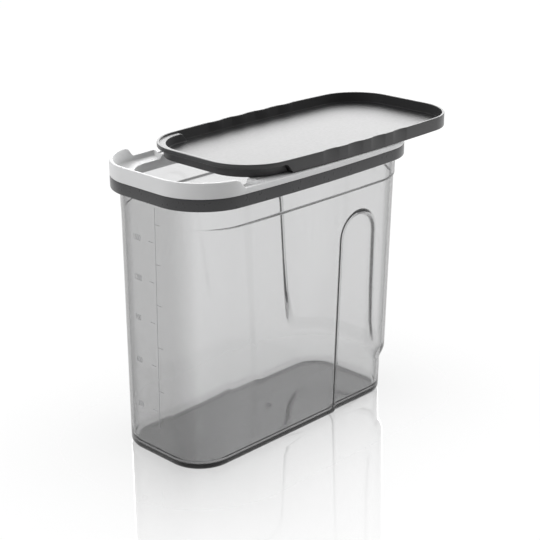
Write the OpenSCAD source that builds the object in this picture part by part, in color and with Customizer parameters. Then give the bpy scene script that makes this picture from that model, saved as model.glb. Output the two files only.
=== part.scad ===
// Clear dry-food keeper with a pouring collar and a lid that slides back on it.
// Millimetres. X runs from the pouring end (minus) to the rear (plus), Z is up.
// The origin lies on the base, under the middle of the collar.
// The lid is drawn where it is when the keeper is open: slid back by lid_travel.

/* [Container] */
// Height of the clear container, base to rim
body_h = 160.8; // [159:0.1:162]
// X of the pouring end's outside
front_x = -88.6; // [-89:0.1:-88]
// X of the rear end's outside, at the base
rear_base_x = 83.9; // [82:0.1:85]
// X of the rear end's outside, at the shoulder
rear_top_x = 88.2; // [87:0.1:88.6]
// Half of the width at the base
half_w_base = 36.3; // [35:0.1:37]
// Half of the width at the shoulder, at the ends of the long sides
half_w_top = 40.9; // [40:0.1:41.2]
// How far the long sides swell above the shoulder
swell_top = 2.45; // [1:0.05:2.5]
// How much less they swell below it
shoulder_swell = 0.8; // [0:0.1:1]
// Corner radius in plan at the base
corner_base = 22; // [18:0.5:26]
// Corner radius in plan at the shoulder
corner_top = 28.7; // [26:0.1:30]
// Wall thickness
wall = 1.8; // [1.5:0.1:2.2]
// Thickness of the floor
floor_t = 2.4; // [2:0.1:3.5]
// Radius round the outside of the base
foot_r = 2.5; // [2:0.5:5]
// Radius round the inside of the floor
inner_foot_r = 4; // [3:0.5:6]
// Height of the shoulder line
shoulder_z = 144; // [139:0.1:147]
// Step outwards above the shoulder line
shoulder_step = 0.5; // [0.3:0.1:0.6]
// Height of the snap bead round the rim
bead_h = 3; // [2:0.5:4]

/* [Grip recess] */
// Depth of the finger recess
grip_depth = 2.4; // [1.5:0.1:3]
// X of the recess's front edge
grip_front_x = 25.6; // [22:0.1:28]
// X of the recess's rear edge, at the top of the arch
grip_rear_x = 53.3; // [51:0.1:55]
// X of the recess's rear edge, low down
grip_low_x = 57.5; // [55.5:0.5:60]
// Top of the arch
grip_top_z = 127.5; // [116:0.1:133]
// Height of the step round the rear of the base
grip_step_z = 24.5; // [20:0.5:32]
// Radius where the recess turns to the rear
grip_turn_r = 14; // [8:0.5:18]

/* [Collar and band] */
// Half of the collar's length
collar_a = 92.5; // [92:0.1:93]
// Half of the collar's width at the ends of the long sides
collar_b = 44.7; // [44.4:0.1:45.5]
// How far the collar's long sides swell
collar_swell = 4.15; // [3.8:0.05:4.6]
// Corner radius of the collar in plan
collar_r = 29; // [27:0.5:31]
// Bottom of the dark band
band_low_z = 156.1; // [154:0.1:157]
// Top of the dark band, where the collar starts
band_top_z = 163; // [162.8:0.1:163.3]
// Thickness of the band
band_t = 1.8; // [1.4:0.1:1.9]
// Width of the band's top flange, which the collar clips over
band_flange = 3.5; // [2.5:0.1:3.6]
// Top of the collar's low rim, on which the lid runs
rim_z = 166.4; // [166.2:0.1:166.5]
// Thickness of the collar's rim and lip
rim_t = 2; // [1.6:0.1:2.2]
// Top of the raised lip round the pouring end
lip_z = 171.8; // [170:0.1:171.9]
// X where the lip starts to fall
lip_high_x = -65; // [-67:0.5:-64]
// X where the lip has come down to the rim
lip_low_x = -58.7; // [-60:0.1:-58]
// Top of the deck in the pouring pocket
deck_z = 163.8; // [163.5:0.1:164.1]
// Underside of the deck, which presses on the seal
deck_low_z = 162; // [161.9:0.1:162.1]
// Depth of the collar's plug inside the container
plug_depth = 5; // [4:0.1:8]
// Thickness of the plug wall
plug_t = 1.6; // [1.3:0.1:1.8]

/* [Pouring opening] */
// X of the opening's front end
mouth_front_x = -78; // [-79:0.5:-76]
// X of the opening's rear end, under the lid
mouth_rear_x = -30; // [-34:0.5:-24]
// Half of the opening's width
mouth_b = 35.2; // [33:0.1:35.4]
// Corner radius of the opening
mouth_r = 20; // [14:0.5:22]
// Depth of the skirt that hangs round the opening
skirt_depth = 3.8; // [3:0.1:6]
// Thickness of that skirt
skirt_t = 1.5; // [1.2:0.1:1.5]

/* [Lid] */
// Half of the lid's length
lid_a = 93.8; // [93.5:0.1:94.2]
// Half of the lid's width at the ends of the long sides
lid_b = 44; // [43.6:0.1:44.2]
// Corner radius of the lid in plan
lid_r = 27.1; // [26:0.1:28]
// Travel from closed to open, and where the lid stands here
lid_travel = 36.8; // [30:0.1:37]
// Underside of the lid
lid_low_z = 166.7; // [166.7:0.1:166.9]
// Top of the lid's rim
lid_top_z = 174.6; // [174.1:0.1:175.3]
// Thickness of the lid's outer wall
lid_t = 1.5; // [1.3:0.1:1.8]
// Thickness of the tray's floor
tray_t = 1.6; // [1.4:0.1:2]
// Number of finger flutes on each long side
flutes = 4; // [2:1:5]
// Distance from one flute to the next
flute_pitch = 20; // [16:0.5:22]
// Depth of a flute
flute_depth = 0.8; // [0.4:0.1:1]
// Radius of a flute
flute_r = 22; // [18:1:26]

/* [Slide guides] */
// Y of the two guides under the lid
guide_y = 39.6; // [39.5:0.1:39.8]
// Width of a guide's stem
guide_stem = 1.6; // [1.4:0.1:1.8]
// Width of a guide's foot
guide_foot = 3.8; // [3.4:0.1:4]
// Length of each guide
guide_len = 12; // [8:1:14]
// Play between a guide and its slot
play = 0.3; // [0.25:0.05:0.35]

/* [Hidden] */
clear = 0.4;                          // gap between the collar and the container
arc_steps = 12;                       // segments in each corner of an outline
side_steps = 8;                       // segments along each long side
s_steps = 6;                          // segments in each S-shaped end of the lip
foot_steps = 4;                       // segments in the rounded edge of the base
arch_steps = 12;                      // segments in the arch of the finger recess
turn_steps = 6;                       // segments where the recess turns to the rear
shoulder_soft = 0.5;                  // half of the height of the shoulder's slope
over = 1;                             // how far a cutter reaches past what it cuts
far = 200;                            // longer than anything here
top_a = (rear_top_x - front_x) / 2;   // half of the container's length at the shoulder
plug_a = top_a - wall - clear;
plug_b = half_w_top + shoulder_step - wall - clear;
plug_r = corner_top - wall - clear;
top_x = (rear_top_x + front_x) / 2;   // middle of the container at the shoulder
plate_t = 1.8;                        // thickness of the plate behind the pocket
cap_z = rim_z - 1.1;                  // underside of the ledges that hold the guides
foot_low_z = deck_z + play;           // underside of the guides
mouth_a = (mouth_rear_x - mouth_front_x) / 2;
mouth_x = (mouth_rear_x + mouth_front_x) / 2;
pocket_r = 110.3;                     // radius of the pocket's curved rear edge
pocket_x = 57.1;                      // and the X of its centre
lip_gap_w = lid_a - collar_a + rim_t + clear;   // width of the space for the lip, under the lid
shell_t = 1.5;                        // thickness of the lid over and behind the lip
bump_w = lip_gap_w + shell_t;         // width of the step over the lip, inside the tray
front_guide_x = -5;                   // front end of the front guides
rear_guide_x = 50;                    // front end of the rear guides
slot_lead = 8;                        // how far the slots reach past the front guides

// Quarter circle of radius r, round centre c, from angle t0
function arc(c, r, t0) = [for (i = [0:arc_steps])
    c + r * [cos(t0 + 90 * i / arc_steps), sin(t0 + 90 * i / arc_steps)]];

// Points between p and q, both ends left out
function between(p, q) = [for (i = [1:side_steps - 1]) p + (q - p) * i / side_steps];

// Rounded rectangle of half sizes a and b
function rounded(a, b, r) = concat(
    arc([a - r, b - r], r, 0), between([a - r, b], [r - a, b]),
    arc([r - a, b - r], r, 90), arc([r - a, r - b], r, 180),
    between([r - a, -b], [a - r, -b]), arc([a - r, r - b], r, 270));

// The same with its long sides swollen outwards
function swollen(a, b, r, swell) = [for (p = rounded(a, b, r))
    [p.x, p.y + sign(p.y) * swell * (1 - pow(p.x / a, 2)) * min(abs(p.y) / b, 1)]];

// Half sizes, radius, swell and middle of the container at height z, t inside its outside
function body_ring(z, t) =
    let (k = z / shoulder_z,
         rear = rear_base_x + (rear_top_x - rear_base_x) * k,
         a = (rear - front_x) / 2,
         grow = z > shoulder_z ? shoulder_step : 0,
         b = half_w_base + (half_w_top - half_w_base) * k + grow,
         swell = (z > shoulder_z ? swell_top : swell_top - shoulder_swell) * k,
         r = corner_base + (corner_top - corner_base) * k)
    [for (p = swollen(a + grow - t, b - t, r + grow - t, swell))
        [p.x + (rear + front_x) / 2, p.y, z]];

// Heights and insets of the rings of a solid like the container, with a rounded bottom edge
function body_levels(t, low, r, high) = concat(
    [for (i = [0:foot_steps]) let (angle = 90 * i / foot_steps)
        [low + r * (1 - cos(angle)), t + r * (1 - sin(angle))]],
    [[shoulder_z - shoulder_soft, t], [shoulder_z + shoulder_soft, t], [high, t]]);

// Solid through a list of rings that have the same number of points
module loft(rings) {
    n = len(rings[0]);
    m = len(rings);
    sides = [for (j = [0:m - 2]) for (i = [0:n - 1]) for (k = [0, 1])
        let (u = j * n + i, v = j * n + (i + 1) % n)
        k == 0 ? [u, u + n, v] : [v, u + n, v + n]];
    polyhedron(points = [for (ring = rings) for (p = ring) p],
        faces = concat([[for (i = [0:n - 1]) i]],
            [[for (i = [0:n - 1]) m * n - 1 - i]], sides));
}

// Solid of the container's shape, t inside its outside
module body_solid(t, low, r, high) {
    loft([for (l = body_levels(t, low, r, high)) body_ring(l[0], l[1])]);
}

// Side view of the finger recess, grown by e
module grip_region(e) {
    arch_r = (grip_rear_x - grip_front_x) / 2;
    arch = [for (i = [0:arch_steps]) let (angle = 180 * i / arch_steps)
        [grip_front_x + arch_r - (arch_r + e) * cos(angle),
         grip_top_z - arch_r + (arch_r + e) * sin(angle)]];
    turn = [for (i = [0:turn_steps]) let (angle = 90 * i / turn_steps)
        [grip_low_x + grip_turn_r - (grip_turn_r - e) * cos(angle),
         grip_step_z + grip_turn_r - (grip_turn_r - e) * sin(angle)]];
    rotate([90, 0, 0])
        linear_extrude(height = far, center = true)
            polygon(concat([[grip_front_x - e, -over]], arch, turn,
                [[far, grip_step_z + e], [far, -over]]));
}

// Solid of the container's shape with the finger recess in it
module gripped_solid(t, low, r, high, e) {
    difference() {
        body_solid(t, low, r, high);
        grip_region(e);
    }
    body_solid(t + grip_depth, low, r, high);
}

// Upright wall or block of the collar's outline, t inside it
module collar_prism(t, low, high) {
    translate([0, 0, low])
        linear_extrude(height = high - low)
            polygon(swollen(collar_a - t, collar_b - t, collar_r - t, collar_swell));
}

// Block of the lid's outline, t inside it, at the lid's open place
module lid_prism(t, low, high) {
    translate([lid_travel, 0, low])
        linear_extrude(height = high - low)
            polygon(swollen(lid_a - t, lid_b - t, lid_r - t, collar_swell));
}

// Block of the plug's outline, t inside it
module plug_prism(t, low, high) {
    translate([top_x, 0, low])
        linear_extrude(height = high - low)
            polygon(swollen(plug_a - t, plug_b - t, plug_r - t, swell_top));
}

// Block of the opening's outline, grown by t
module mouth_prism(t, low, high) {
    translate([mouth_x, 0, low])
        linear_extrude(height = high - low)
            polygon(rounded(mouth_a + t, mouth_b + t, mouth_r + t));
}

// Everything in front of an S-shaped fall from high_z to low_z between two values of X
module s_region(x_high, x_low, high_z, low_z, bottom) {
    fall = [for (i = [0:s_steps]) let (k = i / s_steps)
        [x_high + (x_low - x_high) * k,
         low_z + (high_z - low_z) * (1 + cos(180 * k)) / 2]];
    rotate([90, 0, 0])
        linear_extrude(height = far, center = true)
            polygon(concat([[-far, bottom], [-far, high_z]], fall, [[x_low, bottom]]));
}

// The part of the deck behind the pocket's curved edge
module behind_pocket(low, high) {
    translate([0, 0, low])
        linear_extrude(height = high - low) {
            translate([pocket_x, 0])
                circle(r = pocket_r, $fn = 180);
        }
}

// The slots that the guides run in, on both sides
module guide_slots() {
    slot_end = rear_guide_x + guide_len + play;
    slot_front = front_guide_x - lid_travel - slot_lead;
    for (side = [-1, 1])
        translate([slot_front, side * guide_y, 0]) {
            translate([0, -guide_stem / 2 - play, foot_low_z])
                cube([slot_end - slot_front, guide_stem + 2 * play, far]);
            translate([0, -guide_foot / 2 - play, deck_z])
                cube([slot_end - slot_front, guide_foot + 2 * play, cap_z - deck_z]);
        }
}

// One guide under the lid: a stem with a wider foot
module guide(x, side) {
    translate([x, side * guide_y, foot_low_z]) {
        translate([0, -guide_stem / 2, 0])
            cube([guide_len, guide_stem, lid_low_z - foot_low_z + tray_t / 2]);
        translate([0, -guide_foot / 2, 0])
            cube([guide_len, guide_foot, cap_z - play - foot_low_z]);
    }
}

// Clear container with its finger recess and snap bead
module body_shell() {
    color([0.72, 0.73, 0.74, 0.45])
    difference() {
        union() {
            gripped_solid(0, 0, foot_r, body_h, 0);
            collar_prism(band_t + clear, body_h - bead_h, body_h);
        }
        gripped_solid(wall, floor_t, inner_foot_r, body_h + over, wall);
    }
}

// Dark band that holds the collar on the container
module rim_band() {
    color([0.2, 0.2, 0.21])
    difference() {
        collar_prism(0, band_low_z, band_top_z);
        collar_prism(band_t, band_low_z - over, body_h + clear);
        collar_prism(band_flange, band_low_z - over, band_top_z + over);
    }
}

// Light collar: rim, lip, deck with the pouring opening, plug and guide slots
module pour_collar() {
    color([0.82, 0.83, 0.84])
    difference() {
        union() {
            collar_prism(0, band_top_z, rim_z);
            collar_prism(band_flange, deck_low_z, rim_z);
            plug_prism(0, deck_low_z - plug_depth, deck_low_z + over);
            intersection() {
                collar_prism(0, band_top_z, lip_z);
                s_region(lip_high_x, lip_low_x, lip_z, rim_z, band_top_z);
            }
            mouth_prism(skirt_t, deck_z - skirt_depth, rim_z);
        }
        difference() {
            collar_prism(rim_t, deck_z, lip_z + over);
            behind_pocket(deck_z - over, rim_z);
        }
        difference() {
            plug_prism(plug_t, deck_low_z - plug_depth - over, rim_z - plate_t);
            translate([-far, -far, deck_low_z])
                cube([far + mouth_rear_x + skirt_t, 2 * far, far]);
            mouth_prism(skirt_t, deck_z - skirt_depth, rim_z);
            for (side = [-1, 1])
                translate([-far, side * far / 2 + side * (guide_y - guide_foot), deck_low_z + far / 2])
                    cube([2 * far, far, far], center = true);
        }
        mouth_prism(0, deck_low_z - plug_depth - over, lip_z + over);
        guide_slots();
    }
}

// Soft ring between the collar and the container's rim
module collar_seal() {
    color([0.93, 0.93, 0.93])
    difference() {
        collar_prism(band_flange + clear, body_h + play, deck_low_z);
        plug_prism(0, body_h, deck_low_z + over);
    }
}

// Finger flutes along both long sides of the lid
module lid_flutes() {
    side_y = lid_b + collar_swell;
    for (side = [-1, 1])
        for (i = [0:flutes - 1])
            translate([lid_travel + (i - (flutes - 1) / 2) * flute_pitch,
                    side * (side_y + flute_r - flute_depth), lid_low_z + tray_t])
                cylinder(h = far, r = flute_r, $fn = 96);
}

// Dark lid: a tray whose front steps up over the lip, with its guides
module slide_lid() {
    x_high = lip_high_x + lid_travel;
    x_low = lip_low_x + lid_travel;
    color([0.16, 0.16, 0.17])
    difference() {
        union() {
            difference() {
                lid_prism(0, lid_low_z, lid_top_z);
                difference() {
                    lid_prism(lid_t, lid_low_z + tray_t, lid_top_z + over);
                    difference() {
                        s_region(x_high + shell_t, x_low + shell_t, lip_z + play + shell_t,
                            lid_low_z + tray_t, lid_low_z);
                        lid_prism(bump_w, lid_low_z, lid_top_z + over);
                    }
                }
            }
            for (side = [-1, 1]) {
                guide(front_guide_x, side);
                guide(rear_guide_x, side);
            }
        }
        difference() {
            s_region(x_high + play, x_low + play, lip_z + play, lid_low_z, lid_low_z - over);
            lid_prism(lip_gap_w, lid_low_z - over, lid_top_z);
        }
        lid_flutes();
    }
}

body_shell();
rim_band();
pour_collar();
collar_seal();
slide_lid();
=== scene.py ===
"""Looks of a clear dry-food keeper with a sliding lid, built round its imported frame.

Shapes are worked out in millimetres and written to the meshes in metres.
X runs from the pouring end (minus) to the rear (plus), and Z is up.
"""
import math

import bmesh
import bpy
import numpy as np
from mathutils import Matrix, Vector, geometry

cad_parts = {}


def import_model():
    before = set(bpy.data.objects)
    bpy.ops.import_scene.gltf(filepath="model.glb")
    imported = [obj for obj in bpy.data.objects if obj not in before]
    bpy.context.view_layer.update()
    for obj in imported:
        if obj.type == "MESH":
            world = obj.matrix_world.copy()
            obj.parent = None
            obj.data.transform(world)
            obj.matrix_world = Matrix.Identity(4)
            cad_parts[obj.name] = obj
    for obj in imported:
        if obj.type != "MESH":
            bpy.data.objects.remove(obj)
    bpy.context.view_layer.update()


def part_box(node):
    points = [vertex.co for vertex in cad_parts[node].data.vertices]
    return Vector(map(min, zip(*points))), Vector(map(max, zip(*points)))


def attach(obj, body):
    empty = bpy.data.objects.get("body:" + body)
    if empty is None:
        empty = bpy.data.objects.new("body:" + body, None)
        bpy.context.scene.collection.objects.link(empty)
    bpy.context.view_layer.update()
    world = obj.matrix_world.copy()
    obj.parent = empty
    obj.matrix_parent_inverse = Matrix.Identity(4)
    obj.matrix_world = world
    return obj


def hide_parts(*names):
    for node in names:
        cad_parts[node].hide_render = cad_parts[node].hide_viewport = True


MM = 0.001
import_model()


def node_box(name):
    """Lowest and highest corners of a CAD node, in millimetres."""
    low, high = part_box(name)
    return low / MM, high / MM


body_high = node_box("body_shell")[1]
band_low, band_high = node_box("rim_band")
collar_low, collar_high = node_box("pour_collar")
seal_low, seal_high = node_box("collar_seal")
lid_low, lid_high = node_box("slide_lid")

# Container
BODY_TOP = body_high.z
FRONT_X = -88.6
REAR_BASE_X, REAR_TOP_X = 83.9, 88.2
HALF_W_BASE, HALF_W_TOP = 36.3, 40.9
CORNER_BASE, CORNER_TOP = 22.0, 28.7
SWELL_TOP, SHOULDER_SWELL = 2.45, 0.8
SHOULDER_Z, SHOULDER_STEP = 144.0, 0.5
SHOULDER_SOFT = (0.8, 1.1)              # height of the shoulder's slope at the rear, and its growth mid-side
SHOULDER_FRONT = (-74.0, -86.0)         # X where the shoulder starts to fade out, and where it is gone
SHOULDER_FADE = 1.2                     # how much higher the slope gets where it fades out
SHOULDER_W, SHOULDER_SHADE_RUN = 1.15, 45.0 # half height of its painted shade line, and the length in which that shade starts
WALL, FLOOR_T = 1.8, 2.4
FOOT_R, INNER_FOOT_R = 3.2, 4.6
BEAD_H, BEAD_INSET = 3.0, 2.2
BEAD_EDGE, MOUTH_EDGE = 0.3, 0.4        # cut edges of the snap bead and of the container's rim
NUB_X, NUB_R, NUB_H, NUB_SOFT = 3.0, 1.5, 0.3, 0.45   # the moulding's small ring on the floor

# Finger recess
GRIP_FRONT_X, GRIP_REAR_X = 26.1, 53.3
GRIP_TOP_Z, GRIP_STEP_Z, GRIP_TURN_R = 127.5, 23.9, 12.0
# z, x and slope width down the rear leg
GRIP_BACK = ((77.0, 54.2, 2.8), (53.0, 55.2, 3.9), (38.0, 57.2, 8.5))
GRIP_SIDE_DEPTH, GRIP_REAR_DEPTH = 2.0, 2.9
GRIP_DEEPER = (60.0, 22.0)              # X where it starts to get deeper, and the length in which it does
GRIP_SOFT, GRIP_REAR_SOFT = 2.8, 9.3    # width of the slope into the recess, on the sides and at the rear
GRIP_LOW_Z, GRIP_PAST = -12.0, 60.0     # where its front leg starts, and how far its rear edge runs on
ARCH_SHADE_START, BACK_SHADE_START = (1.4, 1.4), (30.0, 16.0)   # angle or z where its painted shade line starts, and the run-in
STEP_SHADE_W, STEP_SHADE_SHIFT = 1.1, 0.18            # half width of that line, and its shift on wider slopes
STEP_SHADE_SOFT, SHOULDER_LINE_SOFT = 0.6, 0.5 # soft edges of the two painted shade lines

# Collar and band
BAND_T, BAND_FLANGE, BAND_ROOM = 1.8, 3.5, 0.4
BAND_LOW, BAND_TOP = band_low.z, band_high.z
SEAL_ROOM, SEAL_BEAD, SEAL_GAP = 0.4, 0.3, 0.05
COLLAR_HALF_W, COLLAR_CORNER, SIDE_SWELL = 44.7, 29.0, 4.15
RIM_Z, RIM_T = 166.4, 2.0
LIP_Z, LIP_HIGH_X, LIP_LOW_X = collar_high.z, -65.0, -58.7
DECK_Z, DECK_LOW_Z = 163.8, seal_high.z
PLUG_LOW_Z, PLUG_T, PLUG_PLAY = collar_low.z, 1.6, 0.4
POCKET_R, POCKET_X, POCKET_SOFT = 110.3, 57.1, 0.8
MOUTH_HALF_L, MOUTH_HALF_W, MOUTH_CORNER, MOUTH_X = 24.0, 35.2, 20.0, -54.0
SKIRT_DEPTH, SKIRT_T = 3.8, 1.5
SKIRT_LOW_Z = DECK_Z - SKIRT_DEPTH
RIM_ROOT, MOUTH_ROOT = 1.2, 0.7         # how far the deck's sheet starts from the rim and from the opening

# Lid
LID_TRAVEL = (lid_high.x + lid_low.x) / 2
LID_HALF_W, LID_CORNER = 44.0, 27.1
LID_PLAY, LIP_GAP_W, LIP_SHELL_T = 0.3, 3.7, 1.5
LID_LOW_Z, LID_TOP_Z = RIM_Z + LID_PLAY, lid_high.z
LID_T, TRAY_T, LID_ROOT = 1.5, 1.6, 1.3
FLUTES, FLUTE_PITCH, FLUTE_DEPTH, FLUTE_W = 4, 20.0, 0.8, 12.5
FLUTE_ROUND, FLUTE_ZONE, FLUTE_STEP = 0.8, 42.0, 0.8   # power of its curve, reach and step of its stations
FLUTE_FOOT, FLUTE_HEAD = 0.8, 0.7        # from the lid's low edge and from its top to where a flute ends
FLUTE_REACH = 2.0                        # width in which it fades out towards the tray
GUIDE_Y, GUIDE_STEM, GUIDE_FOOT, GUIDE_LEN = 39.6, 1.6, 3.8, 12.0
GUIDE_FRONTS = (-5.0, 50.0)
GUIDE_EDGE, GUIDE_END, GUIDE_SUNK = 0.3, 0.85, 0.5   # cut edges, narrowing of its ends, depth in the lid
CAP_T = 1.1                              # thickness of the ledges that hold the guides
SLOT_HALF_W, SLOT_END, SLOT_STEPS = GUIDE_STEM / 2 + LID_PLAY, 0.6, 24


def smooth(t):
    """Smooth step from 0 to 1."""
    t = np.clip(t, 0.0, 1.0)
    return t * t * (3.0 - 2.0 * t)


class Outline:
    """A rounded rectangle with swollen long sides.

    A station u runs round it: 0 and 5 are the middles of the pouring and rear ends, 0 to 5 goes along
    +Y through end, corner, side, corner, end, and 5 to 10 comes back along -Y.
    """

    def __init__(self, a, b, r, swell=0.0, x=0.0):
        self.a, self.b, self.r, self.swell, self.x = a, b, r, swell, x

    def at(self, u, inset=0.0):
        """x and y at stations u, inset towards the middle."""
        a, b, r = self.a - inset, self.b - inset, self.r - inset
        side = np.where(u > 5, -1.0, 1.0)
        half = np.where(u > 5, 10 - u, u)
        part = np.clip(np.floor(half), 0, 4)
        f = half - part
        turn = f * math.pi / 2
        parts = [part == k for k in range(5)]
        x = np.select(parts, [-a + 0 * f, r - a - r * np.cos(turn), (a - r) * (2 * f - 1),
                              a - r + r * np.sin(turn), a + 0 * f])
        y = np.select(parts, [(b - r) * f, b - r + r * np.sin(turn), b + 0 * f,
                              b - r + r * np.cos(turn), (b - r) * (1 - f)])
        y = y + self.swell * (1 - (x / a) ** 2) * np.minimum(y / b, 1)
        return x + self.x, side * y

    def side_station(self, x):
        """Station of a point with that x on the +Y side."""
        return 2 + (np.asarray(x) - self.x + self.a - self.r) / (2 * (self.a - self.r))

    def stations(self, end=5, corner=20, side=30, extra_x=()):
        """Stations all the way round, denser in the corners, with more at some places along the sides."""
        counts = (end, corner, side, corner, end)
        half = [np.linspace(k, k + 1, n, endpoint=False) for k, n in enumerate(counts)]
        half += [[5.0], self.side_station(extra_x)] if len(extra_x) else [[5.0]]
        half = np.unique(np.round(np.concatenate(half), 6))
        return np.concatenate([half, 10 - half[-2:0:-1]])

    def holds(self, x, y, inset=0.0):
        """True where a point lies inside the outline."""
        lx, ly = self.at(self.stations(5, 12, 24), inset)
        return inside(x, y, lx, ly)


def inside(x, y, lx, ly):
    """True where points x, y lie inside the closed loop lx, ly."""
    x, y = np.asarray(x, float)[..., None], np.asarray(y, float)[..., None]
    px, py, qx, qy = lx, ly, np.roll(lx, -1), np.roll(ly, -1)
    crosses = (py > y) != (qy > y)
    rise = np.where(qy == py, 1e-12, qy - py)
    return np.sum(crosses & (x < px + (qx - px) * (y - py) / rise), axis=-1) % 2 == 1


COLLAR = Outline((collar_high.x - collar_low.x) / 2, COLLAR_HALF_W, COLLAR_CORNER, SIDE_SWELL)
LID = Outline((lid_high.x - lid_low.x) / 2, LID_HALF_W, LID_CORNER, SIDE_SWELL, LID_TRAVEL)
PLUG = Outline((REAR_TOP_X - FRONT_X) / 2 - WALL - PLUG_PLAY, HALF_W_TOP + SHOULDER_STEP - WALL - PLUG_PLAY,
               CORNER_TOP - WALL - PLUG_PLAY, SWELL_TOP, (REAR_TOP_X + FRONT_X) / 2)
MOUTH = Outline(MOUTH_HALF_L, MOUTH_HALF_W, MOUTH_CORNER, 0.0, MOUTH_X)


CORNER_SHARE = 0.48                      # how much of a side a rounded corner may take


def rounded(corners, steps=3, closed=False):
    """Rounds the corners of a profile. Each corner is inset, z and radius, as numbers or one per station."""
    size = max(np.size(v) for c in corners for v in c)
    c = [[np.broadcast_to(np.asarray(v, float), (size,)) for v in corner] for corner in corners]
    count = len(c)
    insets, heights = [], []
    for k, (inset, z, radius) in enumerate(c):
        ends = not closed and k in (0, count - 1)
        if ends or not np.any(radius > 0):
            insets.append(inset)
            heights.append(z)
            continue
        before, after = c[k - 1], c[(k + 1) % count]
        reach = []
        for other in (before, after):
            di, dz = other[0] - inset, other[1] - z
            length = np.maximum(np.hypot(di, dz), 1e-9)
            cut = np.minimum(radius, CORNER_SHARE * length) / length
            reach.append((inset + di * cut, z + dz * cut))
        for t in np.linspace(0, 1, steps + 1):
            w0, w1, w2 = (1 - t) ** 2, 2 * t * (1 - t), t * t
            insets.append(w0 * reach[0][0] + w1 * inset + w2 * reach[1][0])
            heights.append(w0 * reach[0][1] + w1 * z + w2 * reach[1][1])
    return np.stack(insets, 1), np.stack(heights, 1)


def triangles(points, edges, keep):
    """Constrained Delaunay triangles over points in a plane. keep says which centres stay."""
    flat = [Vector((float(p[0]), float(p[1]))) for p in points]
    found, _, faces, *_ = geometry.delaunay_2d_cdt(flat, edges, [], 0, 1e-6)
    places = np.array([(p.x, p.y) for p in found])
    faces = np.array([f for f in faces if len(f) == 3])
    centres = places[faces].mean(axis=1)
    return places, faces[keep(centres[:, 0], centres[:, 1])]


class Skin:
    """Collects points in millimetres and faces, and makes one mesh of them."""

    def __init__(self):
        self.points, self.marks, self.faces, self.count = [], [], [], 0

    def add(self, x, y, z, mark=0.0):
        """Adds points and returns their indices in the same shape."""
        x, y, z, mark = np.broadcast_arrays(*(np.asarray(v, float) for v in (x, y, z, mark)))
        index = np.arange(self.count, self.count + x.size).reshape(x.shape)
        self.points.append(np.stack([x, y, z], -1).reshape(-1, 3))
        self.marks.append(mark.reshape(-1))
        self.count += x.size
        return index

    def add_rows(self, rows):
        """Adds rows of points that run along the same stations, each row as its x, y and z."""
        rows = [np.broadcast_arrays(*row) for row in rows]
        return self.add(*(np.stack([row[k] for row in rows], 1) for k in range(3)))

    def grid(self, index, round_=True, across=False):
        """Quads over a grid of stations by profile points. It closes round the stations, or across too."""
        if round_:
            index = np.vstack([index, index[:1]])
        if across:
            index = np.hstack([index, index[:, :1]])
        a, b, c, d = index[:-1, :-1], index[1:, :-1], index[1:, 1:], index[:-1, 1:]
        self.faces += np.stack([a, b, c, d], -1).reshape(-1, 4).tolist()

    def sweep(self, outline, u, corners, steps=3, closed=False):
        """Sweeps a rounded profile round an outline, and returns the points' indices."""
        inset, z = rounded(corners, steps, closed)
        x, y = outline.at(u[:, None], inset)
        index = self.add(x, y, z)
        self.grid(index, across=closed)
        return index

    def sheet(self, places, faces, z, mark=0.0):
        """Adds triangles over points in plan."""
        index = self.add(places[:, 0], places[:, 1], z, mark)
        self.faces += index[faces].tolist()

    def mirrored(self):
        """Adds the same again on the other side of the plane Y = 0."""
        points = np.vstack(self.points)
        faces, start = list(self.faces), self.count
        self.add(points[:, 0], -points[:, 1], points[:, 2], np.concatenate(self.marks))
        self.faces += [[start + k for k in reversed(f)] for f in faces]

    def make(self, name, weld=0.004, sharp=40.0):
        """The object, with its doubled points joined and its normals outwards."""
        mesh = bpy.data.meshes.new(name)
        bm = bmesh.new()
        # painted shade along the container's steps is kept per point in the attribute edge
        shade_layer = bm.verts.layers.float.new("edge")
        for p, m in zip(np.vstack(self.points) * MM, np.concatenate(self.marks)):
            bm.verts.new(p)[shade_layer] = m
        bm.verts.ensure_lookup_table()
        for f in self.faces:
            corners = [bm.verts[k] for k in dict.fromkeys(f)]
            if len(corners) > 2 and bm.faces.get(corners) is None:
                bm.faces.new(corners)
        bmesh.ops.remove_doubles(bm, verts=bm.verts, dist=weld * MM)
        bmesh.ops.dissolve_degenerate(bm, edges=bm.edges, dist=1e-7)
        bmesh.ops.recalc_face_normals(bm, faces=bm.faces)
        bm.to_mesh(mesh)
        open_edges = sum(1 for e in bm.edges if not e.is_manifold)
        bm.free()
        if open_edges:
            print(name, "has", open_edges, "open edges")
        mesh.polygons.foreach_set("use_smooth", [True] * len(mesh.polygons))
        mesh.set_sharp_from_angle(angle=math.radians(sharp))
        piece = bpy.data.objects.new(name, mesh)
        bpy.context.scene.collection.objects.link(piece)
        return piece


def plan_grid(low_x, high_x, low_y, high_y, step):
    """Points of a plain grid in plan."""
    x, y = np.meshgrid(np.arange(low_x, high_x, step), np.arange(low_y, high_y, step))
    return np.stack([x.ravel(), y.ravel()], 1)


def ring_edges(start, count):
    """Edges of a closed loop of points that follow each other."""
    return [(start + k, start + (k + 1) % count) for k in range(count)]


# The container

PART_LENGTHS = (12.0, 40.0, 122.0, 40.0, 12.0)   # rough lengths of end, corner, side, corner and end
PART_ENDS = np.concatenate([[0.0], np.cumsum(PART_LENGTHS)])
PART_STEPS = (5, 26, 34, 26, 5)                  # how many stations each of them gets
HALF_STATIONS = np.concatenate([np.linspace(k, k + 1, n, endpoint=False)
                                for k, n in enumerate(PART_STEPS)] + [[5.0]])
SHOULDER_ROWS = SHOULDER_Z + np.linspace(-1.2, 1.2, 11)
ROW_GAP = 1.5                                    # from the shoulder's rows to the plain ones
SLOPE_SHARES = (-0.62, -0.5, -0.4, -0.29, -0.15, 0.0, 0.15, 0.29, 0.4, 0.5, 0.62)
SLOPE_ROOM = 0.7                                 # from the rows along the recess to the plain ones


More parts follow.
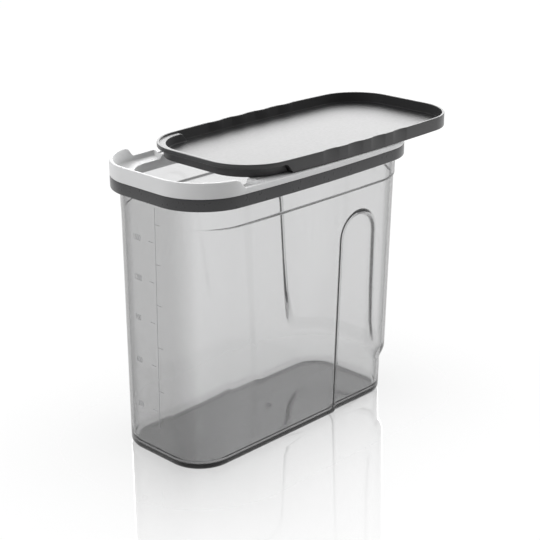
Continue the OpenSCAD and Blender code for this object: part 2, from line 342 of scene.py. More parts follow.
def body_sizes(z):
    """Half length, half width, corner radius, middle and share of the shoulder's height at z."""
    k = z / SHOULDER_Z
    rear = REAR_BASE_X + (REAR_TOP_X - REAR_BASE_X) * k
    half_w = HALF_W_BASE + (HALF_W_TOP - HALF_W_BASE) * k
    radius = CORNER_BASE + (CORNER_TOP - CORNER_BASE) * k
    return (rear - FRONT_X) / 2, half_w, radius, (rear + FRONT_X) / 2, k


def body_plan(u, z, inset):
    """x and y of the container at stations u and height z, with its shoulder."""
    a, b, r, mid, k = body_sizes(z)
    x, _ = Outline(a, b, r).at(u, inset)
    lens = np.clip(1 - (x / a) ** 2, 0, 1) ** 2
    gone = smooth((x + mid - SHOULDER_FRONT[0]) / (SHOULDER_FRONT[1] - SHOULDER_FRONT[0]))
    soft = SHOULDER_SOFT[0] + SHOULDER_SOFT[1] * lens + SHOULDER_FADE * gone
    rise = smooth((z - SHOULDER_Z) / soft + 0.5)
    grow = SHOULDER_STEP * rise * (1 - gone)
    swell = (SWELL_TOP - SHOULDER_SWELL * (1 - rise)) * k
    return Outline(a, b, r, swell, mid).at(u, inset - grow)


def grip_line():
    """The recess's outline in side view: x, v, the slope's width and the share of the painted shade line."""
    arch_r = (GRIP_REAR_X - GRIP_FRONT_X) / 2
    arch_z = GRIP_TOP_Z - arch_r
    leg = [(GRIP_FRONT_X, z, GRIP_SOFT, 0) for z in np.linspace(GRIP_LOW_Z, arch_z, 60, endpoint=False)]
    arch = [(GRIP_FRONT_X + arch_r * (1 - math.cos(t)), arch_z + arch_r * math.sin(t), GRIP_SOFT,
             float(smooth((t - ARCH_SHADE_START[0]) / ARCH_SHADE_START[1])))
            for t in np.linspace(0, math.pi, 26, endpoint=False)]
    knots = np.array([(arch_z, GRIP_REAR_X, GRIP_SOFT)] + list(GRIP_BACK)).T
    back_z = np.linspace(arch_z, GRIP_BACK[-1][0], 40, endpoint=False)
    back_x, back_w = (np.interp(-back_z, -knots[0], row) for row in knots[1:])
    back = [(x, z, w, float(smooth((z - BACK_SHADE_START[0]) / BACK_SHADE_START[1])))
            for x, z, w in zip(back_x, back_z, back_w)]
    low_z, low_x, low_w = GRIP_BACK[-1]
    turn = [(low_x + GRIP_TURN_R * (1 - math.cos(t)), low_z - GRIP_TURN_R * math.sin(t),
             low_w + (GRIP_REAR_SOFT - low_w) * math.sin(t), 0) for t in np.linspace(0, math.pi / 2, 14)]
    far = [(turn[-1][0] + GRIP_PAST, GRIP_STEP_Z, GRIP_REAR_SOFT, 0)]
    return np.array(leg + arch + back + turn + far)


GRIP_LINE = grip_line()


def grip_distance(x, v):
    """Distance to the recess's outline, negative inside, and the slope's width and the painted shade line's
    share there.
    """
    p, q = GRIP_LINE[:-1], GRIP_LINE[1:]
    d = q[:, :2] - p[:, :2]
    rx, rv = x[:, None] - p[:, 0], v[:, None] - p[:, 1]
    t = np.clip((rx * d[:, 0] + rv * d[:, 1]) / np.sum(d * d, 1), 0, 1)
    gap = np.hypot(rx - t * d[:, 0], rv - t * d[:, 1])
    near = np.argmin(gap, axis=1)
    row = np.arange(len(x))
    side = d[near, 0] * rv[row, near] - d[near, 1] * rx[row, near]
    width, share = (p[near, k] + (q[near, k] - p[near, k]) * t[row, near] for k in (2, 3))
    return np.where(side < 0, -1.0, 1.0) * gap[row, near], width, share


class BodySurface:
    """The outside or the inside of the container over its half along +Y.

    A place is a station u and a height v, which goes on down round the foot's radius.
    """

    def __init__(self, inset, foot, floor, grip_grow, top, marked):
        self.inset, self.foot, self.floor, self.grow, self.top = inset, foot, floor, grip_grow, top
        self.marked = marked
        self.bottom = floor + foot - foot * math.pi / 2

    def drop(self, v):
        """Height and inset at v."""
        turn = np.clip((self.floor + self.foot - v) / self.foot, 0, math.pi / 2)
        z = np.where(turn > 0, self.floor + self.foot * (1 - np.sin(turn)), v)
        return z, self.inset + self.foot * (1 - np.cos(turn))

    def at(self, u, v):
        """Points, how much painted shade they get along the steps and the shoulder, the distance to the
        recess and its slope's width.
        """
        z, inset = self.drop(v)
        x, _ = body_plan(u, z, inset)
        gap, width, share = grip_distance(x, v)
        gap = gap - self.grow
        deeper = smooth((x - GRIP_DEEPER[0]) / GRIP_DEEPER[1])
        depth = GRIP_SIDE_DEPTH + (GRIP_REAR_DEPTH - GRIP_SIDE_DEPTH) * deeper
        x, y = body_plan(u, z, inset + depth * smooth(0.5 - gap / width))
        # painted shade along the recess's step and the shoulder's step, deepening the dark lines these steps
        # make in the clear wall
        step_shade_gap = np.abs(gap - STEP_SHADE_SHIFT * (width - GRIP_SOFT))
        mark = share * smooth((STEP_SHADE_W - step_shade_gap) / STEP_SHADE_SOFT)
        along = smooth((x - SHOULDER_FRONT[0]) / SHOULDER_SHADE_RUN)
        mark = np.maximum(mark, along * smooth((SHOULDER_W - np.abs(z - SHOULDER_Z)) / SHOULDER_LINE_SOFT))
        return np.stack([x, y, z], -1), mark * self.marked, gap, width

    def station(self, x, v):
        """Station of a point of the side or the rear corner with that x."""
        z, inset = self.drop(v)
        a, _, r, mid, _ = body_sizes(z)
        x = x - mid
        bend = np.arcsin(np.clip((x - a + r) / (r - inset), 0, 1))
        return np.where(x < a - r, 2 + (x + a - r) / (2 * (a - r)), 3 + bend / (math.pi / 2))

    def places(self):
        """Places of the sheet: a plain grid, and rows that follow the recess's outline."""
        wall_low = self.floor + self.foot
        rows = np.concatenate([
            np.linspace(self.bottom, wall_low, 9),
            np.linspace(wall_low, SHOULDER_ROWS[0] - ROW_GAP, 30)[1:],
            SHOULDER_ROWS, np.linspace(SHOULDER_ROWS[-1] + ROW_GAP, self.top, 5)])
        u, v = (m.ravel() for m in np.meshgrid(HALF_STATIONS, rows))
        _, _, gap, width = self.at(u, v)
        free = np.abs(gap) > SLOPE_SHARES[-1] * width + SLOPE_ROOM
        spots = [np.stack([u[free], v[free]], 1)]
        edges, start = [], int(free.sum())
        line = GRIP_LINE[:-1]
        step = np.gradient(line[:, :2], axis=0)
        normal = np.stack([-step[:, 1], step[:, 0]], 1) / np.hypot(*step.T)[:, None]
        for share in SLOPE_SHARES:
            away = share * line[:, 2] + self.grow
            x, v = line[:, 0] + normal[:, 0] * away, line[:, 1] + normal[:, 1] * away
            shown = v > self.bottom
            x, v = np.append(x[shown][0], x[shown]), np.append(self.bottom, v[shown])
            u = self.station(x, v)
            tail = np.linspace(u[-1], 5, 26)[1:]
            u, v = np.append(u, tail), np.append(v, np.full(tail.shape, v[-1]))
            spots.append(np.stack([u, v], 1))
            edges += [(start + k, start + k + 1) for k in range(len(u) - 1)]
            start += len(u)
        return np.vstack(spots), edges

    def build(self, skin):
        """Adds the sheet, and returns its bottom row."""
        spots, edges = self.places()
        flat = np.stack([np.interp(spots[:, 0], range(6), PART_ENDS), spots[:, 1]], 1)
        flat, faces = triangles(flat, edges, lambda s, v: np.ones(s.shape, bool))
        u, v = np.interp(flat[:, 0], PART_ENDS, range(6)), flat[:, 1]
        u = np.where(u < 1e-6, 0.0, np.where(u > 5 - 1e-6, 5.0, u))
        points, mark, _, _ = self.at(u, v)
        skin.sheet(points[:, :2], faces, points[:, 2], mark)
        low = np.abs(v - self.bottom) < 1e-4
        order = np.argsort(flat[low, 0])
        return points[low][order]


def fill_half(skin, row, height, nub=None):
    """Closes the flat of a half whose edge is row, with a small ring at X nub on the middle line Y = 0."""
    line = np.arange(row[0, 0] + 4, row[-1, 0] - 3, 5.0)
    loop = np.vstack([row[:, :2], np.stack([line[::-1], 0 * line], 1)])
    spots = plan_grid(row[0, 0] + 6, row[-1, 0] - 6, 6, 26, 6.0)
    spots = spots[inside(spots[:, 0], spots[:, 1], row[:, 0], row[:, 1] - 2.5)]
    if nub:
        turn = np.linspace(0, math.pi, 13)
        rings = [np.stack([nub + r * np.cos(turn), np.maximum(r * np.sin(turn), 0)], 1)
                 for r in (0.7, 1.2, 1.7, 2.2, 2.8)]
        loop = loop[~((np.abs(loop[:, 0] - nub) < 4) & (loop[:, 1] == 0))]
        spots = np.vstack([spots] + rings)
    places, faces = triangles(np.vstack([loop, spots]), [(k, k + 1) for k in range(len(row) - 1)],
                              lambda x, y: inside(x, y, row[:, 0], row[:, 1]) & (y > 0.01))
    places[np.abs(places[:, 1]) < 1e-4, 1] = 0.0
    z = np.full(len(places), height)
    if nub:
        away = np.hypot(places[:, 0] - nub, places[:, 1]) - NUB_R
        z = z + NUB_H * np.exp(-(away / NUB_SOFT) ** 2)
    skin.sheet(places, faces, z)


def container():
    """The clear container: outside, inside and snap bead in one closed shell."""
    skin = Skin()
    bead_low, rim_low = BODY_TOP - BEAD_H, BODY_TOP - MOUTH_EDGE
    outer = BodySurface(0.0, FOOT_R, 0.0, 0.0, bead_low, 1.0)
    inner = BodySurface(WALL, INNER_FOOT_R, FLOOR_T, WALL, rim_low, 0.0)
    fill_half(skin, outer.build(skin), 0.0)
    fill_half(skin, inner.build(skin), FLOOR_T, nub=NUB_X)
    u = HALF_STATIONS
    rows = [(*body_plan(u, bead_low, 0.0), bead_low)]
    rows += [(*COLLAR.at(u, BEAD_INSET + cut), z) for cut, z in (
        (BEAD_EDGE, bead_low), (0.0, bead_low + BEAD_EDGE), (0.0, rim_low), (MOUTH_EDGE, BODY_TOP))]
    rows += [(*body_plan(u, BODY_TOP, WALL - MOUTH_EDGE), BODY_TOP),
             (*body_plan(u, rim_low, WALL), rim_low)]
    skin.grid(skin.add_rows(rows), round_=False)
    skin.mirrored()
    return skin.make("container_shell")


# The band, the seal and the collar

def band():
    """The dark band that clips the collar to the container."""
    skin = Skin()
    u = COLLAR.stations(side=36)
    under = BODY_TOP + BAND_ROOM
    skin.sweep(COLLAR, u, [
        (0.0, BAND_LOW, 0.5), (0.0, BAND_TOP, 0.25), (BAND_FLANGE, BAND_TOP, 0.2),
        (BAND_FLANGE, under, 0.2), (BAND_T, under, 0.3), (BAND_T, BAND_LOW, 0.4)],
        closed=True)
    return skin.make("band_ring")


def seal():
    """The soft ring between the collar and the container's rim, with a bead on each face."""
    skin = Skin()
    u = COLLAR.stations(side=36)
    low, high, middle = seal_low.z, seal_high.z, (seal_low.z + seal_high.z) / 2
    outer = [(BAND_FLANGE + SEAL_ROOM + cut, z)
             for cut, z in ((SEAL_BEAD, low), (0.0, middle), (SEAL_BEAD, high))]
    inner = [(-SEAL_BEAD, high), (-SEAL_GAP, middle), (-SEAL_BEAD, low)]
    rows = [(*COLLAR.at(u, cut), z) for cut, z in outer] + [(*PLUG.at(u, cut), z) for cut, z in inner]
    skin.grid(skin.add_rows(rows), across=True)
    return skin.make("seal_ring")


def pocket_edge(y):
    """X of the pocket's curved rear edge."""
    return POCKET_X - np.sqrt(POCKET_R ** 2 - y ** 2)


def deck_height(x, y):
    """Top of the collar's deck: low in the pouring pocket, and level with the rim behind it."""
    return DECK_Z + (RIM_Z - DECK_Z) * smooth((x - pocket_edge(y)) / POCKET_SOFT + 0.5)


def over_lip(x, low, high):
    """A height that is high over the lip at the pouring end and falls to low behind it."""
    fall = np.clip((x - LIP_HIGH_X) / (LIP_LOW_X - LIP_HIGH_X), 0, 1)
    return low + (high - low) * (1 + np.cos(math.pi * fall)) / 2


def slot_loop(side):
    """x and y round a guide slot in plan, from its front round to its front again."""
    low = pocket_edge(GUIDE_Y) + POCKET_SOFT
    high = GUIDE_FRONTS[1] + GUIDE_LEN + SLOT_END
    x = np.concatenate([np.linspace(low, high, SLOT_STEPS), np.linspace(high, low, SLOT_STEPS)])
    return x, side * (GUIDE_Y + np.repeat([-SLOT_HALF_W, SLOT_HALF_W], SLOT_STEPS))


def add_slot(skin, side):
    """The T-shaped slot under the lid in which the guides run."""
    x, y = slot_loop(side)
    wide_y = y + (GUIDE_FOOT - GUIDE_STEM) / 2 * np.sign(side * y - GUIDE_Y) * side
    index = skin.add_rows([(x, y, deck_height(x, y)), (x, y, RIM_Z - CAP_T),
                           (x, wide_y, RIM_Z - CAP_T), (x, wide_y, DECK_Z)])
    skin.grid(index)
    low, last = index[:, -1].tolist(), 2 * SLOT_STEPS - 1
    skin.faces += [[low[k], low[k + 1], low[last - k - 1], low[last - k]] for k in range(SLOT_STEPS - 1)]


def add_deck_top(skin, rim_loop, mouth_loop):
    """The top of the deck between the rim, the pouring opening and the slots."""
    slots = [slot_loop(side) for side in (-1, 1)]
    loops = [rim_loop, mouth_loop] + [np.stack(slot, 1) for slot in slots]
    edges, fixed = [], 0
    for loop in loops:
        edges += ring_edges(fixed, len(loop))
        fixed += len(loop)

    def off_slots(x, y, room=0.0):
        """True where points lie outside the guide slots, and at least room away from them."""
        return ~np.any([(x > sx.min() - room) & (x < sx.max() + room) & (y > sy.min() - room)
                        & (y < sy.max() + room) for sx, sy in slots], axis=0)

    ys = np.concatenate([side * np.linspace(36.6, 44.2, 8) for side in (-1, 1)])
    spots = [np.stack([pocket_edge(ys) + away, ys], 1) for away in np.linspace(-0.6, 0.6, 7)]
    coarse = plan_grid(-88, 88, -44, 44, 4.0)
    spots = np.vstack(spots + [coarse[np.abs(coarse[:, 0] - pocket_edge(coarse[:, 1])) > 2]])
    x, y = spots.T
    room = 0.5
    free = COLLAR.holds(x, y, RIM_T + RIM_ROOT + room) & ~MOUTH.holds(x, y, -MOUTH_ROOT - room)
    spots = spots[free & off_slots(x, y, room)]
    places, faces = triangles(
        np.vstack(loops + [spots]), edges,
        lambda px, py: inside(px, py, *rim_loop.T) & ~inside(px, py, *mouth_loop.T) & off_slots(px, py))
    skin.sheet(places, faces, deck_height(places[:, 0], places[:, 1]))


def collar():
    """The light collar: rim, lip, deck, pouring opening and plug."""
    skin = Skin()
    step = np.linspace(-1.2, 1.2, 13)
    u = COLLAR.stations(side=30, extra_x=np.concatenate([
        np.linspace(LIP_HIGH_X + 1.6, LIP_LOW_X + 0.6, 13), pocket_edge(COLLAR.b) + step]))
    top = over_lip(COLLAR.at(u)[0], RIM_Z, LIP_Z)
    deck = deck_height(*COLLAR.at(u, RIM_T + RIM_ROOT))
    rim = skin.sweep(COLLAR, u, [
        (BAND_FLANGE, BAND_TOP, 0), (0.0, BAND_TOP, 0.3), (0.0, top, 0.95), (RIM_T, top, 0.6),
        (RIM_T, deck, 0.7), (RIM_T + RIM_ROOT, deck, 0)], steps=4)
    um = MOUTH.stations(end=6, corner=18, side=20, extra_x=pocket_edge(MOUTH.b) + step)
    deck = deck_height(*MOUTH.at(um, -MOUTH_ROOT))
    mouth = skin.sweep(MOUTH, um, [
        (-MOUTH_ROOT, deck, 0), (0.0, deck, 0.5), (0.0, SKIRT_LOW_Z, 0.4), (-SKIRT_T, SKIRT_LOW_Z, 0.4),
        (-SKIRT_T, DECK_LOW_Z, 0.3), (-SKIRT_T - 0.4, DECK_LOW_Z, 0)], steps=3)
    plug = skin.sweep(PLUG, u, [
        (PLUG_T + 0.4, DECK_LOW_Z, 0), (PLUG_T, DECK_LOW_Z, 0.3), (PLUG_T, PLUG_LOW_Z, 0.5),
        (0.0, PLUG_LOW_Z, 0.5), (0.0, DECK_LOW_Z, 0)])
    foot = skin.add(*COLLAR.at(u, BAND_FLANGE), DECK_LOW_Z)
    skin.grid(np.stack([plug[:, -1], foot, rim[:, 0]], 1))
    points = np.vstack(skin.points)
    add_deck_top(skin, points[rim[:, -1], :2], points[mouth[:, 0], :2])
    for side in (-1, 1):
        add_slot(skin, side)

    # underside of the deck
    plug_loop, skirt_loop = points[plug[:, 0], :2], points[mouth[:, -1], :2]
    places, faces = triangles(
        np.vstack([plug_loop, skirt_loop]),
        ring_edges(0, len(plug_loop)) + ring_edges(len(plug_loop), len(skirt_loop)),
        lambda x, y: inside(x, y, *plug_loop.T) & ~inside(x, y, *skirt_loop.T))
    skin.sheet(places, faces, DECK_LOW_Z)
    return skin.make("collar_body", sharp=50)


# The lid

def flute(x):
    """How far the finger flutes cut into the lid's side at x."""
    cut = 0 * x
    for k in range(FLUTES):
        away = (x - LID_TRAVEL - (k - (FLUTES - 1) / 2) * FLUTE_PITCH) / (FLUTE_W / 2)
        cut = cut + np.clip(1 - away ** 2, 0, 1) ** FLUTE_ROUND
    return FLUTE_DEPTH * cut


def lid():
    """The dark lid: a shallow tray whose front end steps up over the collar's lip."""
    skin = Skin()
    extra = np.concatenate([
        LID_TRAVEL + np.linspace(LIP_HIGH_X + 0.4, LIP_LOW_X + 2.4, 15),
        LID_TRAVEL + np.arange(-FLUTE_ZONE, FLUTE_ZONE + 0.1, FLUTE_STEP)])
    u = LID.stations(side=24, extra_x=extra)
    x = LID.at(u)[0]
    gap_z = over_lip(x - LID_TRAVEL - LID_PLAY, LID_LOW_Z, LIP_Z + LID_PLAY)
    tray_z = LID_LOW_Z + TRAY_T
    ledge_z = over_lip(x - LID_TRAVEL - LIP_SHELL_T, tray_z, LIP_Z + LID_PLAY + LIP_SHELL_T)
    bump_w = LIP_GAP_W + LIP_SHELL_T
    inset, z = rounded([
        (LIP_GAP_W + LID_ROOT, LID_LOW_Z, 0), (LIP_GAP_W, LID_LOW_Z, 0.3), (LIP_GAP_W, gap_z, 0.3),
        (0.0, gap_z, 0.35), (0.0, LID_TOP_Z, 0.55), (LID_T, LID_TOP_Z, 0.45), (LID_T, ledge_z, 0.3),
        (bump_w, ledge_z, 0.5), (bump_w, tray_z, 0.6), (bump_w + LID_ROOT, tray_z, 0)], steps=4)
    high = smooth((z - LID_LOW_Z - FLUTE_FOOT) / (LID_TOP_Z - LID_LOW_Z - FLUTE_FOOT - FLUTE_HEAD))
    wall_share = smooth((bump_w - inset) / FLUTE_REACH + 0.5)
    inset = inset + flute(x)[:, None] * high * wall_share
    index = skin.add(*LID.at(u[:, None], inset), z)
    skin.grid(index)
    points = np.vstack(skin.points)
    for column, height in ((0, LID_LOW_Z), (-1, tray_z)):
        loop = points[index[:, column], :2]
        spots = plan_grid(loop[:, 0].min() + 5, loop[:, 0].max() - 4, -40, 41, 8.0)
        spots = spots[LID.holds(spots[:, 0], spots[:, 1], 10.0)]
        places, faces = triangles(np.vstack([loop, spots]), ring_edges(0, len(loop)),
                                  lambda px, py: inside(px, py, *loop.T))
        skin.sheet(places, faces, height)
    for side in (-1, 1):
        for front in GUIDE_FRONTS:
            add_guide(skin, front, side)
    return skin.make("lid_shell", sharp=50)


def add_guide(skin, front, side):
    """One T-shaped guide under the lid, with rounded ends."""
    stem, foot = GUIDE_STEM / 2, GUIDE_FOOT / 2
    foot_low, foot_high = DECK_Z + LID_PLAY, RIM_Z - CAP_T - LID_PLAY
    profile = [(stem, LID_LOW_Z + GUIDE_SUNK), (stem, foot_high), (foot, foot_high),
               (foot, foot_low + GUIDE_EDGE), (foot - GUIDE_EDGE, foot_low)]
    profile += [(-y, z) for y, z in reversed(profile)]
    y, z = np.array(profile).T
    xs = front + np.array([0.0, GUIDE_EDGE, GUIDE_LEN - GUIDE_EDGE, GUIDE_LEN])
    shrink = np.array([GUIDE_END, 1.0, 1.0, GUIDE_END])
    index = skin.add(xs[:, None] + 0 * y, side * GUIDE_Y + shrink[:, None] * y, z[None, :] + 0 * xs[:, None])
    skin.grid(index, round_=False, across=True)
    skin.faces += [index[0].tolist(), index[-1][::-1].tolist()]


# The printed volume scale

SCALE_OFFSET, PRINT_T = 0.05, 0.02       # how far the print stands off the wall, and its thickness
LINE_TOP, LINE_LOW = (-6.1, 153.0), (-4.1, 20.5)   # y and z of the long line's ends
LABELS = ((1500, 132.6), (1200, 109.0), (900, 84.7), (600, 58.5), (300, 30.6))
HALF_MARKS = (143.5, 120.5, 96.4, 70.8, 43.8)
LABEL_MARK, HALF_MARK = (2.0, 5.6), (-0.1, -3.9)   # ends of the marks, in y from the long line
LINE_HALF_W, MARK_HALF_W = 0.16, 0.15
LABEL_AWAY, DIGIT_H, DIGIT_SLIM = 18.7, 3.5, 0.66  # left edge of the numbers from the line, height, narrowing
DIGIT_SHARE = 0.72                       # a digit's height as a share of the type's size


def end_wall_x(y, z):
    """X of the container's outside at the pouring end."""
    a, b, r, mid, _ = body_sizes(z)
    past = np.clip(np.abs(y) - (b - r), 0, r)
    return mid - (a - r) - np.sqrt(r ** 2 - past ** 2) if np.any(past > 0) else mid - a + 0 * past


def line_y(z):
    """Y of the scale's long line at height z."""
    k = (z - LINE_LOW[1]) / (LINE_TOP[1] - LINE_LOW[1])
    return LINE_LOW[0] + (LINE_TOP[0] - LINE_LOW[0]) * k


def strip(skin, y0, y1, z0, z1, half, steps=8):
    """A thin printed stroke between two points of the end wall."""
    t = np.linspace(0, 1, steps + 1)
    y, z = y0 + (y1 - y0) * t, z0 + (z1 - z0) * t
    ny, nz = -(z1 - z0), y1 - y0
    n = math.hypot(ny, nz)
    rows = []
    for shift, lift in ((-half, 0.0), (half, 0.0), (half, PRINT_T), (-half, PRINT_T)):
        yy, zz = y + ny / n * shift, z + nz / n * shift
        rows.append((end_wall_x(yy, zz) - SCALE_OFFSET - lift, yy, zz))
    index = skin.add_rows(rows)
    skin.grid(index, round_=False, across=True)
    skin.faces += [index[0].tolist(), index[-1][::-1].tolist()]


def number(value, left_y, z):
    """Mesh of a plain number that reads from outside the pouring end."""
    curve = bpy.data.curves.new(f"number_{value}", "FONT")
    curve.body = str(value)
    curve.size = DIGIT_H / DIGIT_SHARE * MM
    curve.align_y = "CENTER"
    curve.extrude = PRINT_T / 2 * MM
    curve.resolution_u = 4
    holder = bpy.data.objects.new(f"number_{value}", curve)
    mesh = bpy.data.meshes.new_from_object(holder)
    co = np.zeros(len(mesh.vertices) * 3)
    mesh.vertices.foreach_get("co", co)
    co = co.reshape(-1, 3) / MM
    y, zz = left_y - DIGIT_SLIM * co[:, 0], z + co[:, 1]
    x = np.array([float(end_wall_x(np.array(a), np.array(b))) for a, b in zip(y, zz)])
    x = x - SCALE_OFFSET - PRINT_T / 2 - co[:, 2]
    mesh.vertices.foreach_set("co", (np.stack([x, y, zz], 1) * MM).ravel())
    bpy.data.objects.remove(holder)
    return mesh


def scale_print():
    """The volume scale: a long line, marks on both sides of it, and plain numbers."""
    skin = Skin()
    strip(skin, LINE_TOP[0], LINE_LOW[0], LINE_TOP[1], LINE_LOW[1], LINE_HALF_W, 30)
    marks = [(z, LABEL_MARK) for _, z in LABELS] + [(z, HALF_MARK) for z in HALF_MARKS]
    for z, ends in marks:
        strip(skin, line_y(z) + ends[0], line_y(z) + ends[1], z, z, MARK_HALF_W)
    piece = skin.make("scale_print", weld=0.001)
    bm = bmesh.new()
    bm.from_mesh(piece.data)
    for value, z in LABELS:
        bm.from_mesh(number(value, line_y(z) + LABEL_AWAY, z))
    bm.to_mesh(piece.data)
    bm.free()
    return piece


# Materials

def new_material(name):
    """A material with a Principled shader, its output and its node tree."""
    material = bpy.data.materials.new(name)
    material.use_nodes = True
    nodes = material.node_tree.nodes
    nodes.clear()
    output = nodes.new("ShaderNodeOutputMaterial")
    shader = nodes.new("ShaderNodeBsdfPrincipled")
    material.node_tree.links.new(shader.outputs[0], output.inputs["Surface"])
    return material, material.node_tree, shader, output


def node(tree, kind, settings=None, **inputs):
    """A node with its settings, and with its inputs as numbers or links."""
    made = tree.nodes.new("ShaderNode" + kind)
    for key, value in (settings or {}).items():
        setattr(made, key, value)
    for key, value in inputs.items():
        socket = made.inputs[int(key[1:])] if key[0] == "i" and key[1:].isdigit() else made.inputs[key]
        if isinstance(value, bpy.types.NodeSocket):
            tree.links.new(value, socket)
        else:
            socket.default_value = value
    return made


def noise(tree, scale, detail=3.0, stretch=(1, 1, 1)):
    """Noise over the object's own coordinates, in metres, from 0 to 1."""
    place = node(tree, "TexCoord")
    mapping = node(tree, "Mapping", i3=stretch)
    tree.links.new(place.outputs["Object"], mapping.inputs[0])
    made = node(tree, "TexNoise", Scale=scale, Detail=detail)
    tree.links.new(mapping.outputs[0], made.inputs["Vector"])
    return made.outputs["Fac"]


def ranged(tree, value, low, high, from_low=0.3, from_high=0.7):
    """A value brought into a range."""
    return node(tree, "MapRange", i0=value, i1=from_low, i2=from_high, i3=low, i4=high).outputs[0]


def tones(tree, factor, dark, light):
    """A colour between two greys or colours."""
    ramp = node(tree, "ValToRGB", i0=factor)
    ramp.color_ramp.elements[0].position = 0.25
    ramp.color_ramp.elements[1].position = 0.75
    ramp.color_ramp.elements[0].color = (*dark, 1)
    ramp.color_ramp.elements[1].color = (*light, 1)
    return ramp.outputs[0]


def maths(tree, operation, first, second=0.5, **settings):
    """The result of a Math node."""
    return node(tree, "Math", {"operation": operation, **settings}, i0=first, i1=second).outputs[0]


PLASTIC_IOR = 1.5
FLOW_SCALE, GLOSS_SCALE, GRAIN_STRENGTH = 26.0, 500.0, 0.35


def moulded(name, dark, light, rough, grain, grain_depth):
    """Moulded plastic: faint flow mottling, uneven gloss and a fine grain."""
    material, tree, shader, _ = new_material(name)
    flow = noise(tree, FLOW_SCALE, 4.0, (1, 1, 2.5))
    tree.links.new(tones(tree, flow, dark, light), shader.inputs["Base Color"])
    gloss = ranged(tree, noise(tree, GLOSS_SCALE, 2.0), rough[0], rough[1])
    tree.links.new(gloss, shader.inputs["Roughness"])
    bump = node(tree, "Bump", Strength=GRAIN_STRENGTH, Distance=grain_depth * MM,
                Height=noise(tree, grain, 2.0))
    tree.links.new(bump.outputs[0], shader.inputs["Normal"])
    shader.inputs["IOR"].default_value = PLASTIC_IOR
    return material


SMOKE_DENSITY, SMOKE_COLOUR = 226.0, 0.5 # its absorption's density per metre, and its grey
END_SHADE_X = (-0.081, -0.0886)            # X in metres where the painted shade at the pouring end starts, and is full
SLANT_RANGE, SLANT_POWER = (0.4, 0.82), 1.7   # where the painted shade seen edge on starts and is full, and its curve
END_SHADE_GREY, SLANT_SHADE_GREY, LINE_SHADE_GREY = 0.66, 0.13, 0.07   # colours of the painted shade: at that end, edge on, and along the steps' lines


def mixed(tree, factor, first, second):
    """A colour between a linked one and a plain grey."""
    made = node(tree, "Mix", {"data_type": "RGBA"})
    tree.links.new(factor, made.inputs[0])
    tree.links.new(first, made.inputs[6])
    made.inputs[7].default_value = (second, second, second, 1)
    return made.outputs[2]


def smoke_plastic():
    """Clear smoke-grey plastic with painted shade at the pouring end, along its steps and where it is seen
    edge on.
    """
    material, tree, shader, output = new_material("smoke_clear")
    haze = tones(tree, noise(tree, 9.0, 3.0, (1, 1, 0.35)), (0.965, 0.967, 0.97), (0.985, 0.986, 0.988))
    place = node(tree, "SeparateXYZ", i0=node(tree, "TexCoord").outputs["Object"]).outputs["X"]
    # painted shade: darker towards the pouring end
    colour = mixed(tree, ranged(tree, place, 0.0, 1.0, *END_SHADE_X), haze, END_SHADE_GREY)
    # painted shade where the plastic is seen edge on, on top of its real absorption
    slant = node(tree, "LayerWeight", Blend=0.5).outputs["Facing"]
    slant = maths(tree, "POWER", ranged(tree, slant, 0.0, 1.0, *SLANT_RANGE), SLANT_POWER)
    colour = mixed(tree, slant, colour, SLANT_SHADE_GREY)
    # painted shade along the steps, deepening the dark lines they make in the clear wall
    mark = node(tree, "Attribute", {"attribute_name": "edge"}).outputs["Fac"]
    colour = mixed(tree, mark, colour, LINE_SHADE_GREY)
    tree.links.new(colour, shader.inputs["Base Color"])
    tree.links.new(ranged(tree, noise(tree, 60.0, 4.0), 0.0, 0.02), shader.inputs["Roughness"])
    shader.inputs["Transmission Weight"].default_value = 1.0
    shader.inputs["IOR"].default_value = PLASTIC_IOR
    inside_colour = node(tree, "VolumeAbsorption", Color=(SMOKE_COLOUR,) * 3 + (1,), Density=SMOKE_DENSITY)
    tree.links.new(inside_colour.outputs[0], output.inputs["Volume"])
    return material


def ink():
    """The scale's thin grey print."""
    material, tree, shader, _ = new_material("scale_ink")
    tree.links.new(tones(tree, noise(tree, 900.0, 2.0), (0.3, 0.3, 0.305), (0.37, 0.37, 0.375)),
                   shader.inputs["Base Color"])
    tree.links.new(ranged(tree, noise(tree, 400.0), 0.45, 0.6), shader.inputs["Roughness"])
    return material


# The stage

CAMERA_AZIMUTH = math.radians(-45.306)
CAMERA_ELEVATION = math.radians(20.348)
CAMERA_ROLL = math.radians(-0.325)
CAMERA_DISTANCE, CAMERA_LENS, CAMERA_SENSOR = 0.81865, 90.80, 36.0
CAMERA_AIM = Vector((0.0, 0.0, 0.08455))
CAMERA_RIGHT, CAMERA_UP = 0.003914, 0.007058     # where the frame's centre lies from the aim point


def camera():
    """The camera at the photograph's angle."""
    ce, se = math.cos(CAMERA_ELEVATION), math.sin(CAMERA_ELEVATION)
    back = Vector((math.sin(CAMERA_AZIMUTH) * ce, -math.cos(CAMERA_AZIMUTH) * ce, se))
    right = Vector((math.cos(CAMERA_AZIMUTH), math.sin(CAMERA_AZIMUTH), 0))
    up = back.cross(right)
    place = CAMERA_AIM + back * CAMERA_DISTANCE + right * CAMERA_RIGHT + up * CAMERA_UP
    cr, sr = math.cos(CAMERA_ROLL), math.sin(CAMERA_ROLL)
    turned_right, turned_up = right * cr + up * sr, up * cr - right * sr
    data = bpy.data.cameras.new("camera")
    data.lens, data.sensor_width = CAMERA_LENS, CAMERA_SENSOR
    data.clip_start, data.clip_end = 0.01, 60.0
    shot = bpy.data.objects.new("camera", data)
    shot.matrix_world = Matrix.Translation(place) @ Matrix(
        (turned_right, turned_up, back)).transposed().to_4x4()
    bpy.context.scene.collection.objects.link(shot)
    bpy.context.scene.camera = shot


def straight_rays(tree):
    """1 for rays that see the background directly or straight through the clear plastic."""
    path = node(tree, "LightPath").outputs
    unmirrored = maths(tree, "LESS_THAN", path["Glossy Depth"], 0.5)
    clear = maths(tree, "MULTIPLY", unmirrored, path["Is Transmission Ray"])
    return maths(tree, "MAXIMUM", path["Is Camera Ray"], clear)


